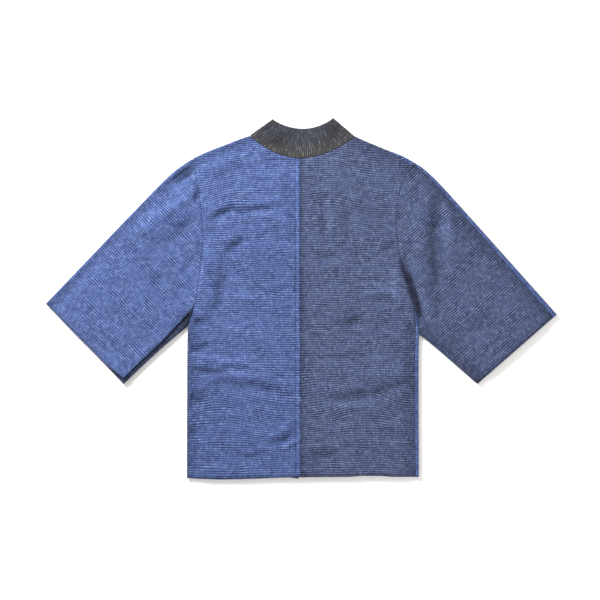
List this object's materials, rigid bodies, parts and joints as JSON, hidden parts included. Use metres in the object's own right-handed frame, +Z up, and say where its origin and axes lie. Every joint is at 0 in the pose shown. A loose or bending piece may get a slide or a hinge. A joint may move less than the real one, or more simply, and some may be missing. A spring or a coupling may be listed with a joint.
{
  "type": "kimono jacket",
  "caption": "Short kimono jacket laid out flat with its back up, in ridged cloth of two blues with a dark neck band.",
  "frame": {"origin": "middle of the underside's outline box, on the surface that the jacket lies on", "axes": "+Z up from that surface, +Y towards the neck, -X towards the wearer's left sleeve"},
  "size_m": [1.021, 0.7266, 0.009],
  "materials": {
    "bright_blue": "ridged cotton weave, bright indigo blue with pale flecks",
    "dark_indigo": "ridged cotton weave, greyed dark indigo with pale flecks",
    "charcoal": "fine ribbed charcoal cloth, doubled"
  },
  "bodies": {
    "root": {"back_left": "bright_blue", "back_right": "dark_indigo", "front_left": "dark_indigo", "front_right": "bright_blue", "sleeve_left_back": "bright_blue", "sleeve_left_front": "dark_indigo", "sleeve_right_back": "dark_indigo", "sleeve_right_front": "bright_blue", "collar_band": "charcoal"}
  },
  "joints": []
}
